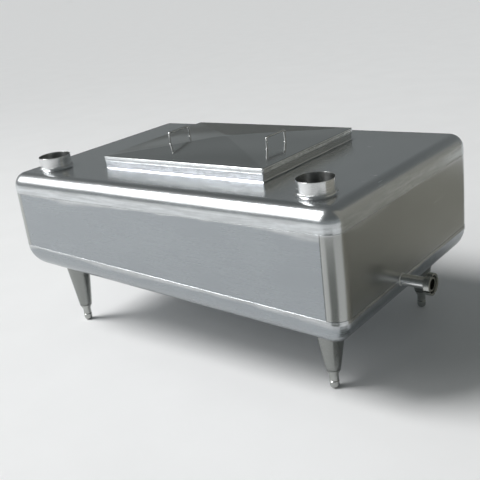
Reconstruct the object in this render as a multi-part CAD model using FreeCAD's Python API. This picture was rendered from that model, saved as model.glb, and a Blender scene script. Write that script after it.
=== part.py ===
import FreeCAD, Part
import math
import os

# Bulk milk tank: an insulated rectangular vessel on four cone legs, with a lift-off lid over a
# manway, two open collars in the front corners of the deck and a threaded outlet low in one end.
# Millimetres. +X points to the outlet end, -Y to the front (the side with the collars), +Z up.
# Every function below works in body coordinates, with x = 0 at the middle of the body. save()
# moves each piece by row_shift, so the row's origin is the floor point under the middle of the
# overall length, outlet included.

# ---- driving dimensions ----
body_length = 1580.0
body_width = 1000.0
deck_height = 707.0  # floor to deck
belly_height = 255.0  # floor to underside, at mid length
drain_fall = 0.0397  # the underside falls by this much per unit of length towards the outlet
side_radius = 62.0  # upright corners of the jacket
deck_radius = 56.0
belly_radius = 110.0
jacket_sheet = 1.5
deck_flange = 24.0  # straight edge of the deck pan below its rounding
belly_flange = 5.0  # straight edge of the belly's rolled sheets above their rounding
belly_lap = 4.0  # flat edge of the same sheets before the belly's plate

side_foam = 50.0
deck_foam = 50.0
belly_foam = 85.0
vessel_sheet = 2.0
vessel_side_radius = 60.0
vessel_floor_radius = 60.0
evaporator_thickness = 6.0
evaporator_margin = 130.0  # vessel wall to the plate's edge

lid_length = 794.0
lid_width = 607.0
lid_sheet = 1.5
lid_lip = 19.0
lid_lift = 47.8  # deck to the lid's upper edge
lid_rise = 28.0  # upper edge to the apex
lid_side_play = 1.5  # lip to coaming
lid_seat_play = 0.3  # lid to the coaming's top edge
coaming_sheet = 2.0
coaming_corner = 5.0
coaming_weld = 5.0

handle_wire = 8.0
handle_span = 118.0
handle_height = 45.0  # lid surface to the grip's centre line
handle_bend = 9.0
handle_places = {"left": (-195.0, -61.0), "right": (270.0, -40.0)}

collar_diameter = 129.0
collar_sheet = 2.0
collar_height = 52.5
collar_flare = 10.0
collar_end_inset = 151.0  # jacket end to the collar's axis
collar_front_inset = 143.5

outlet_tube = 41.0
outlet_sheet = 1.5
outlet_side = -102.0
outlet_sump = 0.5  # the bore's lowest line over the vessel's floor
outlet_tube_end = 84.0  # jacket end wall to the weld between tube and liner
nut_back = 93.0  # jacket end wall to the nut's rear face
nut_depth = 22.0
nut_web = 5.0
nut_wall = 7.5
nut_slot_width = 8.0
nut_slot_depth = 4.0
nut_slot_turn = 20.0  # degrees round the axis
nut_turn_play = 0.1
nut_end_play = 0.2
liner_neck_wall = 2.0
liner_shoulder = 6.0
liner_land = 8.0
liner_cone = 4.0
thread_play = 3.0  # liner shoulder to the nut's thread crests

leg_end_inset = 148.5
leg_side_inset = 151.0
leg_top = 104.0
leg_bottom = 52.0
leg_sheet = 2.0
leg_overlap = 12.0  # the cone runs on this far before the jacket trims it
shoulder_height = 73.0  # floor to the cone's lower rim
neck_diameter = 33.0
neck_top = 53.0
neck_bottom = 31.5
bush_plug = 20.0
bush_plug_play = 0.2
foot_diameter = 34.0
foot_height = 30.0
foot_round = 13.0
foot_chamfer = 2.0
stem_diameter = 20.0
stem_length = 72.0
stem_play = 0.05

# ---- worked out from the above ----
end_x = body_length / 2
row_shift = FreeCAD.Vector(-(nut_back + nut_depth) / 2, 0, 0)
roof_top = deck_height - deck_foam
roof_under = roof_top - vessel_sheet
vessel_end = end_x - side_foam
lid_edge = deck_height + lid_lift
coaming_length = lid_length - 2 * (lid_sheet + lid_side_play)
coaming_width = lid_width - 2 * (lid_sheet + lid_side_play)
coaming_top = lid_edge - lid_sheet - lid_seat_play
collar_x = end_x - collar_end_inset
collar_y = -body_width / 2 + collar_front_inset
leg_x = end_x - leg_end_inset
leg_y = body_width / 2 - leg_side_inset
bore_radius = outlet_tube / 2 - outlet_sheet
neck_radius = outlet_tube / 2 + liner_neck_wall
shoulder_radius = neck_radius + liner_shoulder
thread_radius = shoulder_radius + thread_play
nut_radius = thread_radius + nut_wall

UP = FreeCAD.Vector(0, 0, 1)
ALONG = FreeCAD.Vector(1, 0, 0)
BEYOND = 3000.0  # larger than the tank, for cutting tools


def underside(x, lift=0.0):
    """Height of the sloping underside at x, or of the parallel surface lifted above it."""
    return belly_height - drain_fall * x + lift


outlet_z = underside(vessel_end, belly_foam + vessel_sheet) + bore_radius + outlet_sump


def sloping_prism(x0, x1, width, lift0, lift1):
    """Prism between two planes parallel to the underside, centred on y = 0."""
    corners = [
        (x0, underside(x0, lift0)),
        (x1, underside(x1, lift0)),
        (x1, underside(x1, lift1)),
        (x0, underside(x0, lift1)),
    ]
    points = [FreeCAD.Vector(x, -width / 2, z) for x, z in corners]
    face = Part.Face(Part.makePolygon(points + points[:1]))
    return face.extrude(FreeCAD.Vector(0, width, 0))


def slab(x0, x1, y0, y1, z0, z1):
    """Box between the given limits."""
    return Part.makeBox(x1 - x0, y1 - y0, z1 - z0, FreeCAD.Vector(x0, y0, z0))


def between(x0, x1, y0, y1):
    """Upright cutting block of more than the tank's height."""
    return slab(x0, x1, y0, y1, -BEYOND, BEYOND)


def plate(length, width, z0, z1):
    """Box centred on the tank's middle."""
    return slab(-length / 2, length / 2, -width / 2, width / 2, z0, z1)


def rounded_block(length, width, top, lift, side_r, top_r, floor_r):
    """Block with a flat top and a floor parallel to the underside, its edges rounded where the
    radius given isn't zero."""
    points = [
        FreeCAD.Vector(-length / 2, -width / 2, underside(-length / 2, lift)),
        FreeCAD.Vector(length / 2, -width / 2, underside(length / 2, lift)),
        FreeCAD.Vector(length / 2, -width / 2, top),
        FreeCAD.Vector(-length / 2, -width / 2, top),
    ]
    block = Part.Face(Part.makePolygon(points + points[:1])).extrude(FreeCAD.Vector(0, width, 0))
    radii = []
    for number, edge in enumerate(block.Edges, 1):
        a, b = (v.Point for v in edge.Vertexes)
        if abs(a.x - b.x) + abs(a.y - b.y) < 1e-6:
            radius = side_r
        elif abs(a.z - top) + abs(b.z - top) < 1e-6:
            radius = top_r
        else:
            radius = floor_r
        if radius:
            radii.append((number, radius, radius))
    doc = FreeCAD.newDocument("rounding")
    sharp = doc.addObject("Part::Feature", "sharp")
    sharp.Shape = block
    fillet = doc.addObject("Part::Fillet", "fillet")
    fillet.Base = sharp
    fillet.Edges = radii
    doc.recompute()
    solid = fillet.Shape.Solids[0].copy()
    FreeCAD.closeDocument(doc.Name)
    return solid


def inset_block(length, width, top, lift, side_r, top_r, floor_r, sheet):
    """The rounded block that is left inside a skin of the given sheet."""
    return rounded_block(
        length - 2 * sheet,
        width - 2 * sheet,
        top - sheet,
        lift + sheet,
        side_r - sheet,
        max(top_r - sheet, 0.0),
        floor_r - sheet,
    )


def upright_rod(x, y, radius, z0, z1):
    return Part.makeCylinder(radius, z1 - z0, FreeCAD.Vector(x, y, z0), UP)


def turned(profile, centre, axis, out):
    """Solid turned about axis. The profile holds (radius, distance along axis) points; a third
    entry in a point is the bulge point of an arc that leads to it."""
    place = [centre + out * p[0] + axis * p[1] for p in profile]
    edges = []
    for i, point in enumerate(profile):
        start, end = place[i - 1], place[i]
        if len(point) == 3:
            r, s = point[2]
            edges.append(Part.Arc(start, centre + out * r + axis * s, end).toShape())
        else:
            edges.append(Part.makeLine(start, end))
    return Part.Face(Part.Wire(edges)).revolve(centre, axis, 360)


def rounding(cr, cs, radius, degrees):
    """Point on a profile arc: centre (cr, cs), at the given angle from the outward direction."""
    a = math.radians(degrees)
    return (cr + radius * math.cos(a), cs + radius * math.sin(a))


def jacket():
    """The outer sheets, as one closed skin cut along its weld seams: the deck blank, the four
    walls, and the belly's flat plate with its four rolled edges, with the outside and inside of
    the skin as solids."""
    size = (body_length, body_width, deck_height, 0.0, side_radius, deck_radius, belly_radius)
    outer = rounded_block(*size)
    cavity = inset_block(*size, jacket_sheet)
    skin = outer.cut(cavity)
    above = plate(BEYOND, BEYOND, deck_height - deck_radius - deck_flange, BEYOND)
    below = sloping_prism(-BEYOND, BEYOND, BEYOND, -BEYOND, belly_radius + belly_flange)
    band = skin.cut(above).cut(below)
    flat = end_x - side_radius
    pan = skin.common(below)
    flat_x = end_x - belly_radius - belly_lap
    flat_y = body_width / 2 - belly_radius - belly_lap
    flat_plate = between(-flat_x, flat_x, -flat_y, flat_y)
    edges = pan.cut(flat_plate)
    return {
        "outer": outer,
        "cavity": cavity,
        "deck": skin.common(above),
        "belly_plate": pan.common(flat_plate),
        "belly_front": edges.common(between(-flat_x, flat_x, -BEYOND, 0)),
        "belly_rear": edges.common(between(-flat_x, flat_x, 0, BEYOND)),
        "belly_left": edges.common(between(-BEYOND, -flat_x, -BEYOND, BEYOND)),
        "belly_right": edges.common(between(flat_x, BEYOND, -BEYOND, BEYOND)),
        "left": band.common(between(-BEYOND, -flat, -BEYOND, BEYOND)),
        "right": band.common(between(flat, BEYOND, -BEYOND, BEYOND)),
        "front": band.common(between(-flat, flat, -BEYOND, 0)),
        "rear": band.common(between(-flat, flat, 0, BEYOND)),
    }


def vessel():
    """The inner vessel's sheets: a flat roof, and a tub welded from a flat floor, two sides with
    a rounded foot and two ends with rounded corners, with the vessel's outside and inside."""
    size = (
        body_length - 2 * side_foam,
        body_width - 2 * side_foam,
        roof_top,
        belly_foam,
        vessel_side_radius,
        0.0,
        vessel_floor_radius,
    )
    outer = rounded_block(*size)
    cavity = inset_block(*size, vessel_sheet)
    roof = outer.common(plate(BEYOND, BEYOND, roof_under, roof_top))
    tub = outer.cut(cavity).cut(roof)
    flat_x = vessel_end - vessel_side_radius
    flat_y = body_width / 2 - side_foam - vessel_floor_radius
    return {
        "outer": outer,
        "cavity": cavity,
        "roof": roof,
        "floor": tub.common(between(-flat_x, flat_x, -flat_y, flat_y)),
        "front": tub.common(between(-flat_x, flat_x, -BEYOND, -flat_y)),
        "rear": tub.common(between(-flat_x, flat_x, flat_y, BEYOND)),
        "left_end": tub.common(between(-BEYOND, -flat_x, -BEYOND, BEYOND)),
        "right_end": tub.common(between(flat_x, BEYOND, -BEYOND, BEYOND)),
    }


def round_manway(blank):
    """Four strips of a top sheet, round the hole that the manway coaming stands in."""
    sheet = blank.cut(coaming_block())
    side = coaming_width / 2
    return {
        "front": sheet.common(between(-BEYOND, BEYOND, -BEYOND, -side)),
        "rear": sheet.common(between(-BEYOND, BEYOND, side, BEYOND)),
        "left": sheet.common(between(-BEYOND, 0, -side, side)),
        "right": sheet.common(between(0, BEYOND, -side, side)),
    }


def collar_hole(x):
    return upright_rod(x, collar_y, collar_diameter / 2, roof_under - 1, BEYOND)


def coaming_block(play=0.0):
    """Outside of the manway coaming, from under the vessel's roof up."""
    block = plate(coaming_length + play, coaming_width + play, roof_under, coaming_top)
    upright = [e for e in block.Edges if abs(e.tangentAt(e.FirstParameter).z) > 0.5]
    return block.makeFillet(coaming_corner, upright)


def necked_deck(blank):
    """Deck blank with its two drawn necks, which the collars stand in."""
    deck = blank
    foot = collar_diameter / 2
    rim = foot + collar_flare
    bulge = rounding(rim, collar_flare, collar_flare, 225)
    for x in (-collar_x, collar_x):
        centre = FreeCAD.Vector(x, collar_y, deck_height)
        flare = turned([(foot, 0.0), (rim, 0.0), (foot, collar_flare, bulge)], centre, UP, ALONG)
        deck = deck.fuse(flare).cut(collar_hole(x))
    return deck.removeSplitter()


def inlet_collar(x):
    """Open tube neck from the vessel's roof to above the deck."""
    low, high = roof_under, deck_height + collar_height
    tube = upright_rod(x, collar_y, collar_diameter / 2, low, high)
    return tube.cut(upright_rod(x, collar_y, collar_diameter / 2 - collar_sheet, low - 1, high + 1))


def manway_coaming():
    """Rectangular rim round the manway, welded to deck and roof, with a weld run on the deck."""
    weld = plate(
        coaming_length + 2 * coaming_weld,
        coaming_width + 2 * coaming_weld,
        deck_height,
        deck_height + coaming_weld,
    )
    rim = [e for e in weld.Edges if min(v.Z for v in e.Vertexes) > deck_height + 1]
    weld = weld.makeChamfer(0.9 * coaming_weld, rim)
    inside = plate(
        coaming_length - 2 * coaming_sheet,
        coaming_width - 2 * coaming_sheet,
        roof_under - 1,
        coaming_top + 1,
    )
    return coaming_block().fuse(weld).cut(inside).removeSplitter()


def evaporator_plate():
    """Flat cooling plate welded under the vessel's floor."""
    reach = vessel_end - evaporator_margin
    width = body_width - 2 * (side_foam + evaporator_margin)
    return sloping_prism(-reach, reach, width, belly_foam - evaporator_thickness, belly_foam)


def outlet_rod(radius, x0, x1):
    return Part.makeCylinder(radius, x1 - x0, FreeCAD.Vector(x0, outlet_side, outlet_z), ALONG)


def outlet_on_axis(profile):
    """Turned piece on the outlet's axis, with distances measured from the end wall."""
    return turned(profile, FreeCAD.Vector(end_x, outlet_side, outlet_z), ALONG, UP)


def outlet_pipe(vessel_cavity):
    """Tube from the vessel's lowest corner through the end wall."""
    start = vessel_end - vessel_floor_radius
    pipe = outlet_rod(outlet_tube / 2, start, end_x + outlet_tube_end)
    bore = outlet_rod(bore_radius, start - 1, end_x + outlet_tube_end + 1)
    return pipe.cut(bore).cut(vessel_cavity)


def outlet_liner():
    """Welded end piece: the nut's web pulls on its shoulder and its cone seals."""
    back = nut_back + nut_web + nut_end_play
    front = back + liner_land
    return outlet_on_axis(
        [
            (bore_radius, outlet_tube_end),
            (neck_radius, outlet_tube_end),
            (neck_radius, back),
            (shoulder_radius, back),
            (shoulder_radius, front),
            (shoulder_radius - liner_cone, front + liner_cone),
            (bore_radius, front + liner_cone),
        ]
    )


def union_nut():
    """Round slotted nut that turns on the liner's neck."""
    hole = neck_radius + nut_turn_play
    front = nut_back + nut_depth
    nut = outlet_on_axis(
        [
            (hole, nut_back),
            (nut_radius - 2, nut_back),
            (nut_radius, nut_back + 2, rounding(nut_radius - 2, nut_back + 2, 2, -45)),
            (nut_radius, front - 1),
            (nut_radius - 1, front),
            (thread_radius + 1, front),
            (thread_radius, front - 1),
            (thread_radius, nut_back + nut_web),
            (hole, nut_back + nut_web),
        ]
    )
    slot = slab(
        end_x + nut_back - 1,
        end_x + front + 1,
        outlet_side - nut_slot_width / 2,
        outlet_side + nut_slot_width / 2,
        outlet_z + nut_radius - nut_slot_depth,
        outlet_z + nut_radius + nut_slot_depth,
    )
    centre = FreeCAD.Vector(end_x, outlet_side, outlet_z)
    for quarter in range(4):
        cutter = slot.copy()
        cutter.rotate(centre, ALONG, nut_slot_turn + 90 * quarter)
        nut = nut.cut(cutter)
    return nut


def lid_solid(shrink, drop):
    """Solid lid outline: a rim block under a low four-sided pyramid."""
    length, width, edge = lid_length - 2 * shrink, lid_width - 2 * shrink, lid_edge - drop
    corners = [
        FreeCAD.Vector(sx * length / 2, sy * width / 2, edge)
        for sx, sy in ((-1, -1), (1, -1), (1, 1), (-1, 1))
    ]
    apex = FreeCAD.Vector(0, 0, edge + lid_rise)
    faces = [Part.Face(Part.makePolygon(corners + corners[:1]))]
    for i, corner in enumerate(corners):
        faces.append(Part.Face(Part.makePolygon([corners[i - 1], corner, apex, corners[i - 1]])))
    pyramid = Part.Solid(Part.Shell(faces))
    rim_low = lid_edge - lid_lip - (1 if shrink else 0)
    return plate(length, width, rim_low, edge).fuse(pyramid).removeSplitter()


def lid_surface(x, y):
    """Height of the lid's outer surface."""
    return lid_edge + lid_rise * (1 - max(abs(x) / (lid_length / 2), abs(y) / (lid_width / 2)))


def lid_handle(x, y, outline):
    """Bent wire grip, with its feet trimmed to the lid's slopes."""
    low = lid_edge
    grip = lid_surface(x, y) + handle_height
    half, bend = handle_span / 2, handle_bend
    slant = bend * (1 - math.sqrt(0.5))

    def at(dy, z):
        return FreeCAD.Vector(x, y + dy, z)

    path = Part.Wire(
        [
            Part.makeLine(at(-half, low), at(-half, grip - bend)),
            Part.Arc(
                at(-half, grip - bend), at(-half + slant, grip - slant), at(-half + bend, grip)
            ).toShape(),
            Part.makeLine(at(-half + bend, grip), at(half - bend, grip)),
            Part.Arc(
                at(half - bend, grip), at(half - slant, grip - slant), at(half, grip - bend)
            ).toShape(),
            Part.makeLine(at(half, grip - bend), at(half, low)),
        ]
    )
    ring = Part.Wire([Part.makeCircle(handle_wire / 2, at(-half, low), UP)])
    return path.makePipeShell([ring], True, True).cut(outline)


def leg_cone(x, y, jacket_outer):
    """Sheet cone from the bush's shoulder up to the underside, which trims it."""
    height = underside(x) - shoulder_height
    widening = (leg_top - leg_bottom) / 2 / height
    top = height + leg_overlap
    foot = FreeCAD.Vector(x, y, shoulder_height)
    low = leg_bottom / 2
    shell = Part.makeCone(low, low + widening * top, top, foot, UP)
    hollow = Part.makeCone(low - leg_sheet, low - leg_sheet + widening * top, top, foot, UP)
    return shell.cut(hollow).cut(jacket_outer)


def leg_bush(x, y):
    """Threaded bush that closes the cone, with a tapered shoulder and a neck."""
    bore = stem_diameter / 2 + stem_play
    plug = leg_bottom / 2 - leg_sheet - bush_plug_play
    return turned(
        [
            (bore, neck_bottom),
            (neck_diameter / 2, neck_bottom),
            (neck_diameter / 2, neck_top),
            (leg_bottom / 2, shoulder_height),
            (plug, shoulder_height),
            (plug, shoulder_height + bush_plug),
            (bore, shoulder_height + bush_plug),
        ],
        FreeCAD.Vector(x, y, 0),
        UP,
        ALONG,
    )


def levelling_foot(x, y):
    """Bullet foot with its threaded stem."""
    radius = foot_diameter / 2
    stem = stem_diameter / 2
    return turned(
        [
            (0.0, 0.0),
            (radius - foot_round, 0.0),
            (radius, foot_round, rounding(radius - foot_round, foot_round, foot_round, -45)),
            (radius, foot_height - foot_chamfer),
            (radius - foot_chamfer, foot_height),
            (stem, foot_height),
            (stem, foot_height + stem_length),
            (0.0, foot_height + stem_length),
        ],
        FreeCAD.Vector(x, y, 0),
        UP,
        ALONG,
    )


def insulation(jacket_cavity, vessel_outer, evaporator):
    """Foam that fills the space between jacket and vessel."""
    foam = jacket_cavity.cut(vessel_outer).cut(evaporator).cut(coaming_block())
    for x in (-collar_x, collar_x):
        foam = foam.cut(collar_hole(x))
    return foam.cut(outlet_rod(outlet_tube / 2, 0.0, BEYOND))


def save(shape, name):
    solids = shape.Solids
    if len(solids) != 1 or not solids[0].isValid():
        raise RuntimeError(f"{name}: {len(solids)} solids, valid {shape.isValid()}")
    piece = solids[0].copy()
    piece.translate(row_shift)
    piece.exportStep(f"parts/{name}.step")
    print(f"{name:24s} {piece.Volume / 1e3:12.1f} cm3")


os.makedirs("parts", exist_ok=True)
skin = jacket()
inner = vessel()
collar_holes = [collar_hole(x) for x in (-collar_x, collar_x)]
outlet_hole = outlet_rod(outlet_tube / 2, 0.0, BEYOND)
evaporator = evaporator_plate()
lid_outline = lid_solid(0.0, 0.0)

for strip, sheet in round_manway(necked_deck(skin["deck"])).items():
    save(sheet, f"deck_{strip}")
save(skin["front"], "front_wall")
save(skin["rear"], "rear_wall")
save(skin["left"], "left_end_wall")
save(skin["right"].cut(outlet_hole), "right_end_wall")
for sheet in ("belly_plate", "belly_front", "belly_rear", "belly_left"):
    save(skin[sheet], sheet)
save(skin["belly_right"].cut(outlet_hole), "belly_right")
for strip, sheet in round_manway(inner["roof"].cut(collar_holes[0]).cut(collar_holes[1])).items():
    save(sheet, f"roof_{strip}")
for sheet in ("floor", "front", "rear", "left_end"):
    save(inner[sheet], f"tub_{sheet}")
save(inner["right_end"].cut(outlet_hole), "tub_right_end")
save(evaporator, "evaporator_plate")
save(insulation(skin["cavity"], inner["outer"], evaporator), "insulation_foam")
save(manway_coaming(), "manway_coaming")
save(inlet_collar(-collar_x), "inlet_collar_left")
save(inlet_collar(collar_x), "inlet_collar_right")
save(outlet_pipe(inner["cavity"]), "outlet_tube")
save(outlet_liner(), "outlet_liner")
save(union_nut(), "outlet_union_nut")
save(lid_outline.cut(lid_solid(lid_sheet, lid_sheet)), "lid_pan")
for side, (x, y) in handle_places.items():
    save(lid_handle(x, y, lid_outline), f"lid_handle_{side}")
for row, y in (("front", -leg_y), ("rear", leg_y)):
    for side, x in (("left", -leg_x), ("right", leg_x)):
        save(leg_cone(x, y, skin["outer"]), f"leg_cone_{row}_{side}")
        save(leg_bush(x, y), f"leg_bush_{row}_{side}")
        save(levelling_foot(x, y), f"levelling_foot_{row}_{side}")
print("row shift", row_shift.x, "outlet height", outlet_z, "thread radius", thread_radius)
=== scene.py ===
import math

import bpy
import numpy as np
from mathutils import Matrix, Vector


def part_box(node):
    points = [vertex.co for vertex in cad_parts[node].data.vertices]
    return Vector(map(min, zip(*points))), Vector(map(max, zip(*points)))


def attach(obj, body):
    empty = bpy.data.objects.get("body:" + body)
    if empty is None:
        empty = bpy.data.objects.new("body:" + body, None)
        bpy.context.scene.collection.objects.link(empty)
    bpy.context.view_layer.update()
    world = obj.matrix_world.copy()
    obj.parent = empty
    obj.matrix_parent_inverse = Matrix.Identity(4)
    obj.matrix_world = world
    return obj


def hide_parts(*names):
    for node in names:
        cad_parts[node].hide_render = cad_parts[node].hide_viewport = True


# Bulk milk tank: satin stainless jacket on four cone legs. Metres, +X to the outlet end, -Y to
# the front, +Z up, z = 0 on the floor.

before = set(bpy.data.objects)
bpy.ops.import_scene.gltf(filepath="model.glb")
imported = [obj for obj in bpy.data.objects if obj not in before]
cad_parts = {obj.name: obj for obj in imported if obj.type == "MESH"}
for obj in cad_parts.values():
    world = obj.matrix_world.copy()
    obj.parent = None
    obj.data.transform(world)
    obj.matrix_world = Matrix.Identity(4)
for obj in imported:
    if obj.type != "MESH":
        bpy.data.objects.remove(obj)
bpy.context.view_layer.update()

# ---- vessel, outlet and feet ----
# Pieces that keep their CAD shape. All metal is 304 stainless, rolled, brushed or turned: long
# fine grain along a sheet, rings round a turned part, faint wiped patches, and brighter
# cross-ground bands where a weld was dressed flush.


def new_material(name):
    """Empty node material, with its node tree and its Principled shader."""
    mat = bpy.data.materials.new(name)
    mat.use_nodes = True
    tree = mat.node_tree
    return mat, tree, tree.nodes["Principled BSDF"]


def ramp(tree, value, stops):
    """Colour ramp of a value, with stops of (place, grey or colour)."""
    node = tree.nodes.new("ShaderNodeValToRGB")
    while len(node.color_ramp.elements) < len(stops):
        node.color_ramp.elements.new(0.5)
    for element, (place, colour) in zip(node.color_ramp.elements, stops):
        element.position = place
        element.color = (*colour, 1) if isinstance(colour, tuple) else (colour, colour, colour, 1)
    tree.links.new(value, node.inputs[0])
    return node.outputs["Color"]


def noise(tree, scale, detail, stretch=(1, 1, 1), source="Object"):
    """Noise value with scale cells per metre, multiplied by stretch along each axis."""
    place = tree.nodes.new("ShaderNodeTexCoord")
    mapping = tree.nodes.new("ShaderNodeMapping")
    mapping.inputs["Scale"].default_value = stretch
    texture = tree.nodes.new("ShaderNodeTexNoise")
    texture.inputs["Scale"].default_value = scale
    texture.inputs["Detail"].default_value = detail
    tree.links.new(place.outputs[source], mapping.inputs["Vector"])
    tree.links.new(mapping.outputs["Vector"], texture.inputs["Vector"])
    return texture.outputs["Fac"]


def mix(tree, kind, a, b, factor=1.0):
    """Colour mix of two sockets; the factor is a number or a socket."""
    node = tree.nodes.new("ShaderNodeMix")
    node.data_type = "RGBA"
    node.blend_type = kind
    if isinstance(factor, float):
        node.inputs[0].default_value = factor
    else:
        tree.links.new(factor, node.inputs[0])
    tree.links.new(a, node.inputs[6])
    tree.links.new(b, node.inputs[7])
    return node.outputs[2]


def stainless(name, colour, rough, grain, source="Object", spread=0.04, relief=0.02, band_finish_and_highlight=None):
    """Stainless steel. The grain runs along the axis with the smallest number in grain, and its
    contrast follows spread. The last argument is the (colour, roughness) of a band: the places
    where the band's vertex attribute is 1, which also show long smears. The bands are dressed
    welds, a collar's mill-finished bore, and painted highlights on the lid's lip and the coaming's
    long sides."""
    mat, tree, shader = new_material(name)
    lines = noise(tree, 1.0, 4, grain, source)
    patches = noise(tree, 5.0, 3, (1, 1, 1.6))
    low, high = (tuple(c * f for c in colour) for f in (1 - spread, 1 + spread))
    tone = mix(
        tree,
        "MULTIPLY",
        ramp(tree, lines, [(0.3, low), (0.7, high)]),
        ramp(tree, patches, [(0.3, 0.95), (0.7, 1.0)]),
    )
    gloss = mix(
        tree,
        "MULTIPLY",
        ramp(tree, lines, [(0.25, rough - spread), (0.75, rough + spread)]),
        ramp(tree, patches, [(0.35, 0.93), (0.65, 1.0)]),
    )
    if band_finish_and_highlight:
        mask = tree.nodes.new("ShaderNodeAttribute")
        mask.attribute_name = "finish_and_highlight_band"
        across = noise(tree, 60.0, 3, (1, 1, 1))
        band_unevenness = ramp(tree, across, [(0.3, 0.75), (0.6, 1.0)])
        edge = mix(tree, "MULTIPLY", mask.outputs["Color"], band_unevenness)
        smears = noise(tree, 1.0, 3, (11, 11, 130))
        dim, bright = (tuple(c * f for c in band_finish_and_highlight[0]) for f in (0.94, 1.03))
        finish_and_highlight_tone = mix(
            tree,
            "MULTIPLY",
            ramp(tree, across, [(0.3, dim), (0.7, bright)]),
            ramp(tree, smears, [(0.36, 0.84), (0.62, 1.06)]),
        )
        tone = mix(tree, "MIX", tone, finish_and_highlight_tone, edge)
        band_gloss = ramp(tree, across, [(0.3, band_finish_and_highlight[1] - 0.03), (0.7, band_finish_and_highlight[1] + 0.03)])
        gloss = mix(tree, "MIX", gloss, band_gloss, edge)
    tree.links.new(tone, shader.inputs["Base Color"])
    tree.links.new(gloss, shader.inputs["Roughness"])
    bump = tree.nodes.new("ShaderNodeBump")
    bump.inputs["Strength"].default_value = relief
    bump.inputs["Distance"].default_value = 0.001
    tree.links.new(lines, bump.inputs["Height"])
    tree.links.new(bump.outputs["Normal"], shader.inputs["Normal"])
    shader.inputs["Metallic"].default_value = 1.0
    return mat


inner_steel = stainless("inner_steel", (0.6, 0.61, 0.61), 0.25, (6, 6, 300))
polished = stainless("polished", (0.64, 0.65, 0.65), 0.14, (60, 60, 60), "Object", 0.02, 0.01)
turned = stainless("turned", (0.42, 0.43, 0.415), 0.24, (90, 90, 900), "Object", 0.04, 0.03)
# The record's slot name for each material, listed here; nothing in this script reads it.
SLOTS = {polished: "polished_stainless"}
for name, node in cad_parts.items():
    if name == "outlet_tube":
        chosen = polished
    elif name.startswith(("outlet", "leg", "levelling")):
        chosen = turned
    else:
        chosen = inner_steel
    node.data.materials.clear()
    node.data.materials.append(chosen)

# ---- deck ----
# One pressed 1.5 mm sheet: flat field, edge rolled over a 56 mm radius, short upright rim, and
# two drawn necks for the collars. Its rim was ground bright when the weld was dressed. The whole
# jacket follows one rounded block.
wall_low, wall_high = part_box("front_wall")
MIDDLE = (wall_low.x + wall_high.x) / 2
NECK_BEND = 0.010  # bend radius and height of the deck's two drawn necks
DECK_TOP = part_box("deck_front")[1].z - NECK_BEND
HALF_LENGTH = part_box("right_end_wall")[1].x - MIDDLE
HALF_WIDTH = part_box("right_end_wall")[1].y
SIDE_RADIUS = 0.062
DECK_RADIUS = 0.056
DECK_SEAM = DECK_TOP - 0.080
SHEET = 0.0015
COLLAR_RADIUS = 0.0645
COLLAR_PLACES = ((-0.639, -0.3565), (0.639, -0.3565))
MANWAY_X, MANWAY_Y = 0.394, 0.3005
SHEET_GRAIN = (6, 600, 1)
DECK_GREY = (0.58, 0.595, 0.605)
rim_ground = ((0.64, 0.665, 0.68), 0.24)
deck_steel = stainless("deck_steel", DECK_GREY, 0.26, SHEET_GRAIN, "UV", 0.02, 0.008, rim_ground)
SLOTS[deck_steel] = "polished_stainless"


def waves(x, y, z, size, seed, lengths=(0.55, 0.31, 0.17)):
    """Sheet that isn't quite flat: a sum of slanting sine waves, size metres high in all."""
    dice = np.random.default_rng(seed)
    total = np.zeros(np.broadcast(x, y, z).shape)
    for length in lengths:
        for _ in range(3):
            way = dice.normal(size=3)
            way *= 2 * np.pi / length / np.linalg.norm(way)
            total = total + length * np.sin(way[0] * x + way[1] * y + way[2] * z + dice.uniform(0, 6.28))
    return size * total / (3 * sum(lengths))


def surface(name, patches, material, centre, body="tank", stands_for=(), finish_and_highlight_band=None, sheet=0.0):
    """Smooth mesh of quads through grids of points, welded where they meet. A patch is
    (points, uv), or (points, uv, keep) with a mask of its quads. Faces point away from centre,
    or, with no centre, away from the middle of each column. dressed gives 0 to 1 for the points,
    and sheet is a thickness that is added inwards."""
    points, uvs, quads, start = [], [], [], 0
    for patch in patches:
        grid, run = patch[0], patch[1]
        rows, cols = grid.shape[:2]
        index = start + np.arange(rows * cols).reshape(rows, cols)
        cells = np.stack([index[:-1, :-1], index[:-1, 1:], index[1:, 1:], index[1:, :-1]], -1)
        cells = cells.reshape(-1, 4)
        if len(patch) > 2:
            cells = cells[patch[2].reshape(-1)]
        points.append(grid.reshape(-1, 3))
        uvs.append(run.reshape(-1, 2))
        a, b, c = (grid.reshape(-1, 3)[cells[:, k] - start] for k in range(3))
        if centre is None:
            inside = np.broadcast_to(grid[:-1].mean(0), grid.shape).reshape(-1, 3)[cells[:, 0] - start]
        else:
            inside = np.array(centre)
        if (np.cross(b - a, c - b) * (a - inside)).sum() < 0:
            cells = cells[:, ::-1]
        quads.append(cells)
        start += rows * cols
    points, uvs, quads = (np.concatenate(p) for p in (points, uvs, quads))
    mesh = bpy.data.meshes.new(name)
    mesh.from_pydata(points, [], quads.tolist())
    layer = mesh.uv_layers.new(name="Run")
    layer.data.foreach_set("uv", uvs[quads.reshape(-1)].astype(np.float32).reshape(-1))
    if finish_and_highlight_band is not None:
        mask = mesh.attributes.new("finish_and_highlight_band", "FLOAT", "POINT")
        mask.data.foreach_set("value", finish_and_highlight_band(points).astype(np.float32))
    obj = bpy.data.objects.new(name, mesh)
    bpy.context.scene.collection.objects.link(obj)
    mesh.materials.append(material)
    weld = obj.modifiers.new("weld", "WELD")
    weld.merge_threshold = 1e-6
    if sheet:
        thick = obj.modifiers.new("sheet", "SOLIDIFY")
        thick.thickness = sheet
        thick.offset = -1
    mesh.shade_smooth()
    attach(obj, body)
    if stands_for:
        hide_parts(*stands_for)


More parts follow.
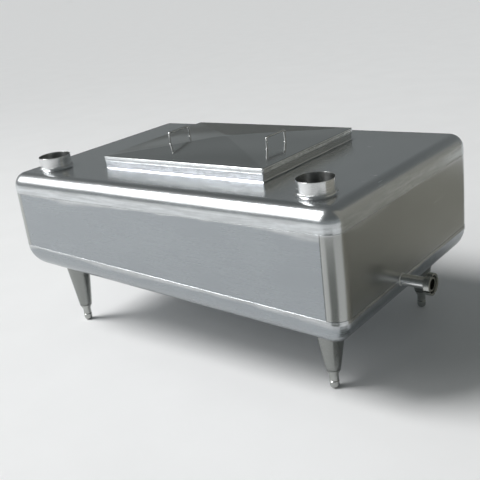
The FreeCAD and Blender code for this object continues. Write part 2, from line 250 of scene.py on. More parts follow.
def joined(*runs):
    """One ascending list of numbers out of several, without repeats."""
    values = np.concatenate(runs)
    keep = np.concatenate([[True], np.diff(values) > 1e-7])
    return values[keep]


def spaced(a, b, step):
    """Numbers from a to b, about step apart."""
    return np.linspace(a, b, max(2, int(round(abs(b - a) / step)) + 1))


def round_plan(xs, ys, corner=9):
    """Walk once round a rectangle, from the middle of its left side by the front: for each point
    its share of the half length and half width, and its outward direction in the corners."""
    turn = np.linspace(0, np.pi / 2, corner + 2)[1:-1]
    x, y, nx, ny = [], [], [], []

    def add(px, py, dx, dy):
        px, py, dx, dy = np.broadcast_arrays(px, py, dx, dy)
        x.extend(px), y.extend(py), nx.extend(dx), ny.extend(dy)

    add(xs, -1.0, 0.0, -1.0)
    add(1.0, -1.0, np.sin(turn), -np.cos(turn))
    add(1.0, ys, 1.0, 0.0)
    add(1.0, 1.0, np.cos(turn), np.sin(turn))
    add(xs[::-1], 1.0, 0.0, 1.0)
    add(-1.0, 1.0, -np.sin(turn), np.cos(turn))
    add(-1.0, ys[::-1], -1.0, 0.0)
    add(-1.0, -1.0, -np.cos(turn), -np.sin(turn))
    x.append(x[0]), y.append(y[0]), nx.append(nx[0]), ny.append(ny[0])
    return tuple(np.array(v, float) for v in (x, y, nx, ny))


def ring_rows(plan, insets, radii, half_x=None, half_y=None):
    """The plan walk at each inset from an outline, the jacket's if no other is given, with each
    inset's corner radius: corner centres move in by inset + radius, and corner points stand out
    from them by the radius."""
    half_x, half_y = half_x or HALF_LENGTH, half_y or HALF_WIDTH
    x, y, nx, ny = plan
    rows = []
    for inset, radius in zip(insets, radii):
        px = x * (half_x - inset - radius) + radius * nx
        py = y * (half_y - inset - radius) + radius * ny
        rows.append(np.stack([px + MIDDLE, py], -1))
    return np.array(rows)


def raised(rows, heights):
    """Rows of plan points, each row at its own height."""
    tall = np.broadcast_to(np.asarray(heights)[:, None, None], rows.shape[:2] + (1,))
    return np.concatenate([rows, tall], -1)


def run_uv(grid):
    """Distance along the rows and along the columns of a grid of points, in metres."""
    along = np.linalg.norm(np.diff(grid, axis=1), axis=-1)
    along = np.concatenate([np.zeros((len(grid), 1)), np.cumsum(along, 1)], 1)
    across = np.linalg.norm(np.diff(grid, axis=0), axis=-1).mean(1)
    across = np.concatenate([[0], np.cumsum(across)])
    return np.stack([along.mean(0) + 0 * along, across[:, None] + 0 * along], -1)


flat_x, flat_y = HALF_LENGTH - DECK_RADIUS, HALF_WIDTH - DECK_RADIUS
REACH = 0.084  # half side of the square of deck that is drawn up into a neck
cx, cy = COLLAR_PLACES[1]
xs = joined(
    spaced(-flat_x, -cx - REACH, 0.005),
    spaced(-cx - REACH, -cx + REACH, 0.007),
    spaced(-cx + REACH, -MANWAY_X, 0.012),
    spaced(-MANWAY_X, MANWAY_X, 0.016),
    spaced(MANWAY_X, cx - REACH, 0.012),
    spaced(cx - REACH, cx + REACH, 0.007),
    spaced(cx + REACH, flat_x, 0.005),
)
ys = joined(
    spaced(-flat_y, cy - REACH, 0.002),
    spaced(cy - REACH, -MANWAY_Y, 0.007),
    spaced(-MANWAY_Y, cy + REACH, 0.007),
    spaced(cy + REACH, MANWAY_Y, 0.015),
    spaced(MANWAY_Y, flat_y, 0.012),
)
gx, gy = np.meshgrid(xs, ys)
middle_x = (gx[:-1, :-1] + gx[1:, 1:]) / 2
middle_y = (gy[:-1, :-1] + gy[1:, 1:]) / 2
open_cell = (abs(middle_x) < MANWAY_X) & (abs(middle_y) < MANWAY_Y)
for px, py in COLLAR_PLACES:
    open_cell |= (abs(middle_x - px) < REACH) & (abs(middle_y - py) < REACH)


def deck_field(x, y):
    """Height of the deck's flat field: slow waves, dying out at the rolled edge, and a slight
    dip along the coaming's weld."""
    edge = np.minimum(flat_x - abs(x), flat_y - abs(y))
    fade = np.clip(edge / 0.09, 0, 1)
    gap = np.maximum(abs(x) - MANWAY_X, abs(y) - MANWAY_Y)
    dip = -0.0007 * np.exp(-((np.clip(gap, 0, None) / 0.022) ** 2))
    return DECK_TOP + waves(x, y, 0 * x, 0.0011, 3) * fade**2 + dip


field = np.stack([gx + MIDDLE, gy, deck_field(gx, gy)], -1)
patches = [(field, np.stack([gx, gy], -1), ~open_cell)]
for px, py in COLLAR_PLACES:
    side_x = xs[abs(xs - px) < REACH + 1e-6]
    side_y = ys[abs(ys - py) < REACH + 1e-6]
    walk = np.concatenate(
        [
            np.stack([side_x, 0 * side_x + side_y[0]], -1),
            np.stack([0 * side_y[1:] + side_x[-1], side_y[1:]], -1),
            np.stack([side_x[::-1][1:], 0 * side_x[1:] + side_y[-1]], -1),
            np.stack([0 * side_y[1:] + side_x[0], side_y[::-1][1:]], -1),
        ]
    )
    offset = walk - (px, py)
    unit = offset / np.linalg.norm(offset, axis=-1, keepdims=True)
    lift = np.linspace(0, np.pi / 2, 7)
    radii = COLLAR_RADIUS + NECK_BEND * (1 - np.sin(lift))
    rises = NECK_BEND * (1 - np.cos(lift))
    rows = []
    for share in np.linspace(0, 1, 7)[:-1]:
        spot = walk * (1 - share) + (np.array((px, py)) + unit * radii[0]) * share
        height = deck_field(spot[:, 0], spot[:, 1])
        rows.append(np.stack([spot[:, 0] + MIDDLE, spot[:, 1], height], -1))
    for radius, rise in zip(radii, rises):
        spot = np.array((px, py)) + unit * radius
        height = deck_field(spot[:, 0], spot[:, 1]) + rise
        rows.append(np.stack([spot[:, 0] + MIDDLE, spot[:, 1], height], -1))
    neck = np.array(rows)
    patches.append((neck, neck[..., :2]))
plan = round_plan(xs / flat_x, ys / flat_y)
roll_angle = np.linspace(0, np.pi / 2, 15)
insets = DECK_RADIUS * (1 - np.sin(roll_angle))
heights = DECK_TOP - DECK_RADIUS * (1 - np.cos(roll_angle))
rim_heights = DECK_SEAM + np.array([0.021, 0.013, 0.005, 0.0015, 0])
insets = np.concatenate([insets, [0, 0, 0, 0.0001, 0.0007]])
heights = np.concatenate([heights, rim_heights])
corner_radii = SIDE_RADIUS * (1 - np.clip(insets, 0, DECK_RADIUS) / DECK_RADIUS)
rows = ring_rows(plan, insets, corner_radii)
edge = raised(rows, heights)
buckle = waves(edge[..., 0], edge[..., 1], edge[..., 2], 0.0007, 4, (0.4, 0.2))
halfway = np.append(np.sin(2 * np.minimum(roll_angle, 1.57)), [0] * 5)
edge[..., 2] += buckle * np.clip(halfway, 0, 1)[:, None]
patches.append((edge, run_uv(edge)))


def rim_band(p):
    """1 on the deck's upright rim and the lower part of its rounding, with a ragged upper limit."""
    ragged = waves(p[:, 0], p[:, 1], 0 * p[:, 0], 0.02, 8, (0.3, 0.11, 0.05))
    return np.clip((DECK_TOP - 0.036 + ragged - p[:, 2]) / 0.006, 0, 1)


deck_nodes = [f"deck_{side}" for side in ("front", "rear", "left", "right")]
surface("deck_sheet", patches, deck_steel, (MIDDLE, 0, 0.4), "tank", deck_nodes, rim_band, SHEET)

# ---- walls ----
# Four sheets between the deck's rim and the belly. The end sheets wrap round the upright
# corners. All seams are butt welds, dressed with a grinder, so the sheet dips a little there.
FALL = 0.0397  # slope of the underside towards the outlet
BELLY = 0.255  # height of the underside at the tank's middle
BELLY_SEAM = 0.115  # from the underside up to the seam between belly and walls
seam_ground = (DECK_GREY, 0.2)
# The grey of the front, rear and belly sheets, lower than stainless is and lower than the end sheets' grey,
# is painted shade that tones down the bright floor they mirror.
WALL_GREY = (0.365, 0.39, 0.41)
wall_steel = stainless("wall_steel", WALL_GREY, 0.28, SHEET_GRAIN, "UV", 0.018, 0.008, seam_ground)
END_GREY = (0.43, 0.44, 0.43)
end_steel = stainless("end_steel", END_GREY, 0.26, SHEET_GRAIN, "UV", 0.018, 0.008, seam_ground)
SLOTS[wall_steel] = SLOTS[end_steel] = "satin_stainless"


def underside(x):
    """Height of the sloping underside at x in the row frame."""
    return BELLY - FALL * (x - MIDDLE)


def wall(name, plan_points, normals, material, seed, node):
    """Wall sheet over a plan walk, from the deck's seam down to the belly's, its edges dipping by
    0.8 mm at the welds: a narrow hollow in a wide one."""
    x, y = plan_points[:, 0], plan_points[:, 1]
    foot = underside(x) + BELLY_SEAM
    down = joined([0, 0.003, 0.008, 0.02, 0.04], np.linspace(0.06, 0.94, 20), [0.96, 0.98, 0.992, 0.997, 1])
    z = DECK_SEAM + (foot - DECK_SEAM)[None, :] * down[:, None]
    along = np.concatenate([[0], np.cumsum(np.hypot(np.diff(x), np.diff(y)))])
    from_edge = np.minimum(along, along[-1] - along)[None, :]
    from_edge = np.minimum(from_edge, np.minimum(DECK_SEAM - z, z - foot[None, :]))
    dip = -0.0003 * np.exp(-((from_edge / 0.004) ** 2)) - 0.0005 * np.exp(-((from_edge / 0.03) ** 2))
    swell = waves(x[None, :], y[None, :], z, 0.0012, seed) * np.clip(from_edge / 0.08, 0, 1) ** 2
    out = (dip + swell)[..., None] * normals[None]
    grid = np.concatenate([plan_points[None] + out, z[..., None]], -1)
    uv = np.stack([np.broadcast_to(along, z.shape), z], -1)

    def seam_band(p):
        """1 close to the deck's seam, narrowing and widening along it."""
        ragged = 1 + waves(p[:, 0], p[:, 1], 0 * p[:, 0], 2.4, seed + 9, (0.4, 0.15, 0.06))
        return np.clip(1.4 - (DECK_SEAM - p[:, 2]) / (0.008 * np.clip(ragged, 0.3, 3)), 0, 1)

    surface(name, [(grid, uv)], material, (MIDDLE, 0, 0.45), "tank", [node], seam_band, SHEET)


straight = joined(
    [-1, -0.997, -0.99, -0.98, -0.96], np.linspace(-0.94, 0.94, 60), [0.96, 0.98, 0.99, 0.997, 1]
)
wall_x = straight * (HALF_LENGTH - SIDE_RADIUS) + MIDDLE
for name, side, seed in (("front", -1, 11), ("rear", 1, 12)):
    points = np.stack([wall_x, 0 * wall_x + side * HALF_WIDTH], -1)
    normals = np.stack([0 * wall_x, 0 * wall_x + side], -1)
    wall(f"{name}_sheet", points, normals, wall_steel, seed, f"{name}_wall")
bend = np.linspace(-np.pi / 2, 0, 16)
flat_end = straight[1:-1] * (HALF_WIDTH - SIDE_RADIUS)
normals = np.concatenate(
    [
        np.stack([np.cos(bend), np.sin(bend)], -1),
        np.stack([1 + 0 * flat_end, 0 * flat_end], -1),
        np.stack([np.cos(bend), -np.sin(bend)], -1)[::-1],
    ]
)
centres_y = np.concatenate(
    [0 * bend - HALF_WIDTH + SIDE_RADIUS, flat_end, 0 * bend + HALF_WIDTH - SIDE_RADIUS]
)
for name, side, seed in (("left_end", -1, 13), ("right_end", 1, 14)):
    facing = normals * (side, 1)
    centres = np.stack([0 * centres_y + MIDDLE + side * (HALF_LENGTH - SIDE_RADIUS), centres_y], -1)
    wall(f"{name}_sheet", centres + SIDE_RADIUS * facing, facing, end_steel, seed, f"{name}_wall")

# ---- belly ----
# Flat sloping plate with edges rolled over a 110 mm radius, welded to the walls. The dressed
# weld stands a little proud just under the seam, unevenly, and most towards the outlet end.
BELLY_RADIUS = 0.110
belly_x = np.linspace(-1, 1, 70)
belly_y = np.linspace(-1, 1, 40)
plan = round_plan(belly_x, belly_y)
roll_angle = np.concatenate([np.linspace(0, 0.18, 9)[:-1], np.linspace(0.18, np.pi / 2, 16)])
start = np.array([BELLY_SEAM, 0.1142, 0.1132, 0.1115])
insets = np.concatenate([0 * start, BELLY_RADIUS * (1 - np.cos(roll_angle))])
lifts = np.concatenate([start, BELLY_RADIUS * (1 - np.sin(roll_angle))])
radii = SIDE_RADIUS * np.clip(1 - insets / 0.095, 0, 1)
rows = ring_rows(plan, insets, radii)
share = 0.55 + 0.45 * np.clip((rows[..., 0] - MIDDLE) / HALF_LENGTH, -1, 1)
uneven = share + waves(rows[..., 0], rows[..., 1], 0 * share, 1.3, 33, (0.35, 0.12, 0.05))
bulge = 0.0012 * uneven * np.exp(-(((lifts - 0.104) / 0.0075) ** 2))[:, None]
outward = np.stack([plan[2], plan[3]], -1)
rows = rows + bulge[..., None] * outward
edge = raised(rows, lifts)
edge[..., 2] += underside(edge[..., 0])
gx, gy = np.meshgrid(
    belly_x * (HALF_LENGTH - BELLY_RADIUS) + MIDDLE, belly_y * (HALF_WIDTH - BELLY_RADIUS)
)
plate = np.stack([gx, gy, underside(gx)], -1)


def belly_band(p):
    """1 in a narrow band just under the wall's seam."""
    ragged = 1 + waves(p[:, 0], p[:, 1], 0 * p[:, 0], 1.0, 31, (0.4, 0.15, 0.06))
    seam = underside(p[:, 0]) + BELLY_SEAM
    return np.clip(1.6 - (seam - p[:, 2]) / (0.012 * ragged), 0, 1)


belly_nodes = [f"belly_{part}" for part in ("plate", "front", "rear", "left", "right")]
surface(
    "belly_sheets",
    [(edge, run_uv(edge)), (plate, plate[..., :2])],
    wall_steel,
    (MIDDLE, 0, 0.45),
    "tank",
    belly_nodes,
    belly_band,
    SHEET,
)

# ---- foam ----
# Poured insulation that fills the room between jacket and vessel. It never shows; its skin
# lies a few millimetres inside the sheets.


def matt(name, dark, light, scale, detail, rough):
    """Matt material, mottled between two colours or greys."""
    mat, tree, shader = new_material(name)
    tone = ramp(tree, noise(tree, scale, detail), [(0.3, dark), (0.7, light)])
    tree.links.new(tone, shader.inputs["Base Color"])
    shader.inputs["Roughness"].default_value = rough
    return mat


FOAM_GAP = 0.006
foam_plan = round_plan(np.linspace(-1, 1, 9), np.linspace(-1, 1, 7), 5)
turn = np.linspace(0, 1.57, 6)
insets = np.concatenate([DECK_RADIUS * (1 - np.sin(turn)), [0, 0]]) + FOAM_GAP
heights = np.concatenate([-DECK_RADIUS * (1 - np.cos(turn)), [-0.1, -0.2]])
rows = ring_rows(foam_plan, insets, SIDE_RADIUS * (1 - insets / 0.07))
upper = raised(rows, DECK_TOP - FOAM_GAP + heights)
turn = np.linspace(0, 1.57, 8)
insets = BELLY_RADIUS * (1 - np.cos(turn)) + FOAM_GAP
rows = ring_rows(foam_plan, insets, SIDE_RADIUS * np.clip(1 - insets / 0.1, 0, 1))
lower = raised(rows, BELLY_RADIUS * (1 - np.sin(turn)) + 0.008)
lower[..., 2] += underside(lower[..., 0])
skin = np.concatenate([upper, lower])
foam_mat = matt("foam", (0.72, 0.6, 0.36), (0.85, 0.76, 0.52), 90.0, 4, 0.9)
SLOTS[foam_mat] = "foam"
surface("foam_skin", [(skin, run_uv(skin))], foam_mat, (MIDDLE, 0, 0.4), "tank", ["insulation_foam"])

# ---- lid ----
# Loose stainless lid: a low pyramid with four pressed creases, its edge folded down into a lip
# with a shallow bead, hemmed inwards at the bottom. Hand-folded, so the facets aren't flat.
LID_X, LID_Y = 0.397, 0.3035
LID_EDGE, LID_RISE = 0.7548, 0.028
LID_FOLD, LID_CORNER = 0.0028, 0.007
LID_SHEET = 0.0012
# The lip's bright grey is a painted highlight, standing in for the bright fillet and floor it mirrors.
lip_painted_highlight = ((0.78, 0.80, 0.81), 0.2)
lid_steel = stainless("lid_steel", (0.44, 0.45, 0.445), 0.14, SHEET_GRAIN, "UV", 0.02, 0.01, lip_painted_highlight)
SLOTS[lid_steel] = "polished_stainless"
LONG, SHORT, CORNER = 61, 49, 5  # points along a long side, a short side and round a corner
lid_plan = round_plan(np.linspace(-1, 1, LONG), np.linspace(-1, 1, SHORT), CORNER)
fold = np.linspace(0, np.pi / 2, 5)
lip_profile = [(LID_FOLD * (1 - math.sin(a)), -LID_FOLD * (1 - math.cos(a))) for a in fold]
lip_profile += [(0, -0.0040), (0, -0.0058), (0.0002, -0.0065), (0.0003, -0.0072), (0.0002, -0.0080)]
lip_profile += [(0.0001, -0.0090), (0, -0.0140), (0, -0.0180)]
lip_profile += [(0.0003, -0.0192), (0.0020, -0.0197), (0.0040, -0.0197)]
lip_insets, lip_heights = np.array(lip_profile).T
lip_radii = LID_CORNER * (1 - np.clip(lip_insets, 0, LID_FOLD) / LID_FOLD)
rows = ring_rows(lid_plan, lip_insets, lip_radii, LID_X, LID_Y)
lip = raised(rows, LID_EDGE + lip_heights)
lip[..., 2] += waves(lip[..., 0], lip[..., 1], 0 * lip[..., 0], 0.0006, 21, (0.5, 0.25))


def lid_top(x, y):
    """Height of the lid's upper face: a pyramid, with waves that die out towards its edge."""
    far = np.maximum(abs(x - MIDDLE) / (LID_X - LID_FOLD), abs(y) / (LID_Y - LID_FOLD))
    sag = waves(x, y, 0 * far, 0.0032, 22, (0.42, 0.23, 0.12))
    edge_wave = waves(x, y, 0 * far, 0.0006, 21, (0.5, 0.25))
    return LID_EDGE + LID_RISE * (1 - far) + sag * np.clip((1 - far) / 0.25, 0, 1) + edge_wave


lid_patches = [(lip, run_uv(lip))]
inwards = 1 - np.cos(np.linspace(0, np.pi / 2, 30))[:, None, None]
apex = np.array((MIDDLE, 0.0))
start = 0
for count in (LONG, SHORT, LONG, SHORT):
    base = rows[0, start : start + count]
    start += count + CORNER
    spot = base[None] * (1 - inwards) + apex * inwards
    facet = np.concatenate([spot, lid_top(spot[..., 0], spot[..., 1])[..., None]], -1)
    lid_patches.append((facet, facet[..., :2] if count == LONG else facet[..., 1::-1]))


def lip_highlight_band(p):
    """1 on the lid's folded lip, which takes a painted highlight: a far brighter grey than the lid's top.
    """
    return (p[:, 2] < LID_EDGE - 0.0015).astype(float)


surface("lid_sheet", lid_patches, lid_steel, (MIDDLE, 0, 0.5), "lid", ["lid_pan"], lip_highlight_band, LID_SHEET)

# ---- coaming ----
# Upright rim of 2 mm sheet round the manway, its top edge rounded by hand, welded to the deck
# all round with a run that was dressed to a small hollow radius and is still uneven.


def bar(name, grids, material, body="tank", stands_for=(), finish_and_highlight_band=None):
    """One object out of swept or lathed grids, or rings of rows."""
    patches = [(grid, run_uv(grid)) for grid in grids]
    surface(name, patches, material, None, body, stands_for, finish_and_highlight_band)


# The two long sides' bright grey below is a painted highlight.
painted_side_highlight = ((0.76, 0.785, 0.82), 0.24)
coaming_steel = stainless(
    "coaming_steel", (0.46, 0.47, 0.47), 0.24, SHEET_GRAIN, "UV", 0.03, 0.01, painted_side_highlight
)
SLOTS[coaming_steel] = "polished_stainless"
low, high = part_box("manway_coaming")
foot, top = low.z, high.z
COAMING_WALL, COAMING_CORNER, HOLLOW = 0.002, 0.005, 0.006
profile = [(COAMING_WALL, z) for z in (foot, DECK_TOP, 0.73, top - 0.001)]
profile += [(0.0014, top - 0.0002), (0.0009, top), (0.0003, top - 0.0003)]
profile += [(0, z) for z in (top - 0.0012, 0.74, 0.725, DECK_TOP + 0.007)]
profile += [
    (-HOLLOW * (1 - math.cos(a)), DECK_TOP - 0.0006 + HOLLOW * (1 - math.sin(a)))
    for a in np.linspace(0, np.pi / 2, 7)
]
profile += [(0, DECK_TOP - 0.003), (0, foot), (COAMING_WALL, foot)]
coaming_insets, coaming_heights = np.array(profile).T
rows = ring_rows(lid_plan, coaming_insets, COAMING_CORNER - coaming_insets, MANWAY_X, MANWAY_Y)
rim = raised(rows, coaming_heights)
uneven = waves(rim[..., 0], rim[..., 1], rim[..., 2], 0.0012, 25, (0.12, 0.05, 0.03))
rim[..., 2] += uneven * (coaming_insets < -0.0005)[:, None]


def highlit_long_sides(p):
    """1 on the coaming's two long sides, which take a painted highlight: a brighter grey than the rest of
    the rim.
    """
    return (abs(p[:, 1]) > MANWAY_Y - 0.0012).astype(float)


bar("coaming_rim", [rim], coaming_steel, "tank", ["manway_coaming"], highlit_long_sides)

# ---- lid handles ----
# Two grips of 8 mm round bar, each bent at two corners and welded to the lid by its ends.


def swept(path, radii, sides=16):
    """Round bar along a path of points: rings of the given radii in planes across the path, as a
    grid with one column for each point of the path."""
    path = np.array(path, float)
    radii = np.broadcast_to(radii, len(path))
    ahead = np.gradient(path, axis=0)
    closed = np.linalg.norm(path[0] - path[-1]) < 1e-9
    if closed:
        ahead[0] = ahead[-1] = path[1] - path[-2]
    ahead /= np.linalg.norm(ahead, axis=1, keepdims=True)
    spare = np.array((0.0, 0.0, 1.0)) if abs(ahead[:, 2]).max() < 0.9 else np.array((1.0, 0.0, 0.0))
    side = np.cross(ahead, spare)
    side /= np.linalg.norm(side, axis=1, keepdims=True)
    other = np.cross(ahead, side)
    turn = np.linspace(0, 2 * np.pi, sides + 1)[:, None, None]
    ring = np.cos(turn) * side[None] + np.sin(turn) * other[None]
    return path[None] + radii[None, :, None] * ring


def weld_bead(path, size, seed):
    """Bead along a path: a bar whose radius swells at each ripple of the weld, 2.5 mm apart."""
    path = np.array(path, float)
    run = np.concatenate([[0], np.cumsum(np.linalg.norm(np.diff(path, axis=0), axis=1))])
    uneven = waves(path[:, 0], path[:, 1], path[:, 2], 0.5, seed, (0.05, 0.02, 0.011))
    ripple = 0.10 * np.sin(run / run[-1] * 2 * np.pi * round(run[-1] / 0.0025))
    fade = np.sqrt(np.clip(np.sin(np.pi * run / run[-1]), 0, 1))
    radii = size * (1 + ripple + 0.35 * uneven * fade)
    return swept(path, radii, 10)


wire, bend, weld_radius = 0.004, 0.009, 0.0042
arc = np.linspace(0, np.pi / 2, 9)
turn = np.linspace(0, 2 * np.pi, 73)
for side in ("left", "right"):
    low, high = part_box(f"lid_handle_{side}")
    x = (low.x + high.x) / 2
    y0, y1 = low.y + wire, high.y - wire
    top = high.z - wire
    foot0, foot1 = lid_top(np.array((x, x)), np.array((y0, y1))) - 0.001
    path = [(x, y0, z) for z in np.linspace(foot0, top - bend, 8)[:-1]]
    path += [(x, y0 + bend - bend * math.cos(a), top - bend + bend * math.sin(a)) for a in arc]
    path += [(x, y, top) for y in np.linspace(y0 + bend, y1 - bend, 12)[1:-1]]
    path += [(x, y1 - bend + bend * math.sin(a), top - bend + bend * math.cos(a)) for a in arc]
    path += [(x, y1, z) for z in np.linspace(top - bend, foot1, 8)[1:]]
    grids = [swept(path, wire)]
    for number, y in enumerate((y0, y1)):
        ring_x, ring_y = x + weld_radius * np.cos(turn), y + weld_radius * np.sin(turn)
        ring = np.stack([ring_x, ring_y, lid_top(ring_x, ring_y) - 0.0006], -1)
        grids.append(weld_bead(ring, 0.0016, 40 + number))
    bar(f"handle_bar_{side}", grids, polished, "lid", [f"lid_handle_{side}"])

# ---- collars ----
# Two necks of 129 mm dairy tube, 2 mm thick, stood in the deck's drawn necks and welded round.
# Turned and brushed round, so their highlights run up and down.


def lathed(profile, x, y, segments=96):
    """Closed profile of (radius, height) points turned round an upright axis."""
    turn = np.linspace(0, 2 * np.pi, segments + 1)
    radius, height = np.array(profile, float).T
    around = np.stack([np.cos(turn), np.sin(turn)], -1)
    return raised(radius[:, None, None] * around[None] + (x, y), height)


def brushed_round(mat):
    """Draws the highlights of a material out across its round grain, which follows the rows."""
    tree = mat.node_tree
    shader = tree.nodes["Principled BSDF"]
    shader.inputs["Anisotropic"].default_value = 0.8
    shader.inputs["Anisotropic Rotation"].default_value = 0.25
    tangent = tree.nodes.new("ShaderNodeTangent")
    tangent.direction_type = "UV_MAP"
    tangent.uv_map = "Run"
    tree.links.new(tangent.outputs["Tangent"], shader.inputs["Tangent"])
    return mat


ROUND_GRAIN = (10, 900, 1)
BEAD = 0.0022  # radius of the jacket's weld beads
mill_bore = ((0.42, 0.43, 0.425), 0.3)
# The collars' outside grey, far brighter than the other steel, is partly their polish and partly a painted
# highlight; the bore keeps a duller mill finish.
collar_steel_highlit = brushed_round(
    stainless("collar_steel_highlit", (0.77, 0.78, 0.78), 0.26, ROUND_GRAIN, "UV", 0.04, 0.02, mill_bore)
)
SLOTS[collar_steel_highlit] = "polished_stainless"
low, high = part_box("inlet_collar_left")
foot, top = low.z, high.z
outer, inner, round_r = COLLAR_RADIUS, COLLAR_RADIUS - 0.002, 0.0008
arc = np.linspace(0, np.pi / 2, 5)
profile = [(outer, z) for z in np.linspace(foot, top - round_r, 14)]
profile += [(outer - round_r * (1 - math.cos(a)), top - round_r * (1 - math.sin(a))) for a in arc]
profile += [(inner + round_r * (1 - math.sin(a)), top - round_r * (1 - math.cos(a))) for a in arc]
profile += [(inner, z) for z in np.linspace(top - round_r, foot, 14)]
profile.append(profile[0])
turn = np.linspace(0, 2 * np.pi, 721)
around = np.stack([np.cos(turn), np.sin(turn)], -1)


def bore(p):
    """1 inside a collar, which keeps the duller mill finish."""
    from_axis = [np.hypot(p[:, 0] - px - MIDDLE, p[:, 1] - py) for px, py in COLLAR_PLACES]
    return (np.minimum(*from_axis) < COLLAR_RADIUS - 0.0012).astype(float)


for side, (px, py) in zip(("left", "right"), COLLAR_PLACES):
    neck = lathed(profile, px + MIDDLE, py)
    bar(f"collar_{side}", [neck], collar_steel_highlit, "tank", [f"inlet_collar_{side}"], bore)
    spot = (px + MIDDLE, py) + (outer + 0.0004) * around
    ring = np.column_stack([spot, 0 * turn + DECK_TOP + NECK_BEND])
    bar(f"collar_weld_{side}", [weld_bead(ring, BEAD, 50)], polished)

# ---- legs and welds ----
# Each leg is a cone rolled from 2 mm sheet, its head welded to the belly. More beads run round
# the outlet tube where it leaves the jacket, and between the tube and its liner.
# The legs' dark grey, darker than stainless is, is painted shade: it stands in for the dark surroundings
# that the cones mirror.
leg_steel_shaded = brushed_round(
    stainless("leg_steel_shaded", (0.29, 0.30, 0.29), 0.27, ROUND_GRAIN, "UV", 0.03, 0.02)
)
SLOTS[leg_steel_shaded] = "satin_stainless"
LEG_X, LEG_Y = 0.6415, 0.349
LEG_FOOT, LEG_HEAD, LEG_WALL = 0.026, 0.052, 0.002
for number, (sx, sy) in enumerate([(-1, -1), (1, -1), (-1, 1), (1, 1)]):
    node = f"leg_cone_{'front' if sy < 0 else 'rear'}_{'left' if sx < 0 else 'right'}"
    x, y = sx * LEG_X, sy * LEG_Y
    foot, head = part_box(node)[0].z, underside(x + MIDDLE)
    grow = np.linspace(0, 1, 12)
    skirt = [(LEG_FOOT + (LEG_HEAD - LEG_FOOT) * g, foot + (head - foot) * g) for g in grow]
    skirt += [(LEG_HEAD + 0.0005, head + 0.012), (LEG_HEAD - LEG_WALL, head + 0.012)]
    skirt += [(LEG_FOOT - LEG_WALL, foot), (LEG_FOOT, foot)]
    bar(node + "_turned", [lathed(skirt, x + MIDDLE, y)], leg_steel_shaded, "tank", [node])
    spot = (x, y) + (LEG_HEAD + 0.0002) * around
    over_x = np.clip(abs(spot[:, 0]) - HALF_LENGTH + BELLY_RADIUS, 0, None)
    over_y = np.clip(abs(spot[:, 1]) - HALF_WIDTH + BELLY_RADIUS, 0, None)
    rise = BELLY_RADIUS - np.sqrt(BELLY_RADIUS**2 - over_x**2 - over_y**2)
    height = underside(spot[:, 0] + MIDDLE) + rise - 0.0006
    ring = np.column_stack([spot + (MIDDLE, 0), height])
    bar(f"leg_weld_{number}", [weld_bead(ring, BEAD, 60 + number)], polished)
tube_low, tube_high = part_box("outlet_tube")
tube_y, tube_z = (tube_low.y + tube_high.y) / 2, (tube_low.z + tube_high.z) / 2
beads = []
for x, radius, size in ((MIDDLE + HALF_LENGTH, 0.0212, 0.0026), (tube_high.x, 0.0204, 0.0011)):
    ring = np.column_stack([0 * turn + x, (tube_y, tube_z) + radius * around])
    beads.append(weld_bead(ring, size, 70))
bar("outlet_welds", beads, polished)

# ---- studio ----
# A pale floor that runs out of view, one wide softbox to the left of the camera, an even soft
# key over it, and three dark cards that only mirror-like reflections see: beside the outlet end,
# on the floor by the front right corner, and far behind the tank.


def panel(name, points, faces, material):
    """Plain mesh object with one material."""
    mesh = bpy.data.meshes.new(name)
    mesh.from_pydata(points, [], faces)
    mesh.materials.append(material)
    obj = bpy.data.objects.new(name, mesh)
    bpy.context.scene.collection.objects.link(obj)
    return obj


FAR = 4000.0
corners = [(-FAR, -FAR, 0), (FAR, -FAR, 0), (FAR, FAR, 0), (-FAR, FAR, 0)]
floor = panel("floor", corners, [(0, 1, 2, 3)], matt("floor_paint", 0.86, 0.88, 3.0, 4, 0.75))


def dark_card(name, tone, points, faces):
    """Matt card that only mirror-like reflections see, so it darkens what the steel mirrors."""
    dark, light = (tuple(c * f for c in tone) for f in (0.95, 1.05))
    obj = panel(name, points, faces, matt(name, dark, light, 2.0, 2, 0.9))
    obj.visible_camera = False
    obj.visible_shadow = False
    obj.visible_diffuse = False


end_points = [
    (1.10, -0.40, 0.0),
    (1.60, 2.40, 0.0),
    (1.60, 2.40, 1.6),
    (1.10, -0.40, 1.6),
    (1.08, 0.30, 0.002),
    (0.95, 1.40, 0.002),
    (0.95, 2.40, 0.002),
]
dark_card("end_card", (0.345, 0.335, 0.292), end_points, [(0, 1, 2, 3), (0, 4, 5, 6, 1)])
corner_points = [
    (0.70, -0.86, 0.002),
    (0.70, -2.20, 0.002),
    (2.00, -1.60, 0.002),
    (0.97, -0.73, 0.002),
    (0.68, -0.45, 0.002),
    (0.92, -0.64, 0.002),
    (1.02, -0.40, 0.002),
    (0.80, -0.22, 0.002),
]
dark_card("corner_card", (0.20, 0.21, 0.20), corner_points, [(0, 1, 2, 3), (4, 5, 6, 7)])
far_points = [(-9.0, 5.0, 0.0), (1.0, 5.0, 0.0), (1.0, 5.0, 1.55), (-9.0, 5.0, 1.55)]
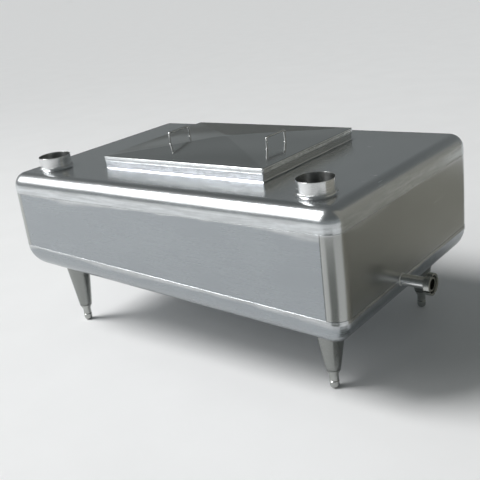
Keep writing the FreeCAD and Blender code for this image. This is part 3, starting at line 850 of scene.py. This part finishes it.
dark_card("far_card", (0.13, 0.135, 0.13), far_points, [(0, 1, 2, 3)])


def aimed(data, place, target):
    """Light object at place that shines towards target."""
    lamp = bpy.data.objects.new(data.name, data)
    way = (Vector(target) - Vector(place)).to_track_quat("-Z", "Y").to_matrix().to_4x4()
    lamp.matrix_world = Matrix.Translation(place) @ way
    bpy.context.scene.collection.objects.link(lamp)


key = bpy.data.lights.new("key", "SUN")
key.energy = 2.6
key.angle = math.radians(26)
aimed(key, (-3.6, -2.4, 4.9), (0, 0, 0))
window = bpy.data.lights.new("softbox", "AREA")
window.shape = "RECTANGLE"
window.size, window.size_y = 6.0, 2.4
window.energy = 100
aimed(window, (-3.4, -3.6, 3.5), (0, 0, 0.6))

world = bpy.data.worlds.new("studio")
world.use_nodes = True
tree = world.node_tree
place = tree.nodes.new("ShaderNodeTexCoord")
split = tree.nodes.new("ShaderNodeSeparateXYZ")
tree.links.new(place.outputs["Generated"], split.inputs[0])
sky = ramp(tree, split.outputs["Z"], [(0.0, (0.32, 0.34, 0.345)), (0.6, (0.13, 0.14, 0.14))])
tree.links.new(sky, tree.nodes["Background"].inputs["Color"])
bpy.context.scene.world = world
bpy.context.scene.view_settings.view_transform = "Standard"

# ---- camera ----
# Stands to the right of the front and above the deck, tilted by a few degrees.
yaw, pitch, roll = (math.radians(a) for a in (40.02, 19.89, -7.142))
back = Vector((math.sin(yaw) * math.cos(pitch), -math.cos(yaw) * math.cos(pitch), math.sin(pitch)))
right = Vector((math.cos(yaw), math.sin(yaw), 0))
up = back.cross(right)
tilted_right = right * math.cos(roll) + up * math.sin(roll)
tilted_up = up * math.cos(roll) - right * math.sin(roll)
camera_data = bpy.data.cameras.new("camera")
camera_data.lens = 56.27
camera = bpy.data.objects.new("camera", camera_data)
turn = Matrix((tilted_right, tilted_up, back)).transposed().to_4x4()
camera.matrix_world = Matrix.Translation((1.8374, -2.2523, 1.4009)) @ turn
bpy.context.scene.collection.objects.link(camera)
bpy.context.scene.camera = camera
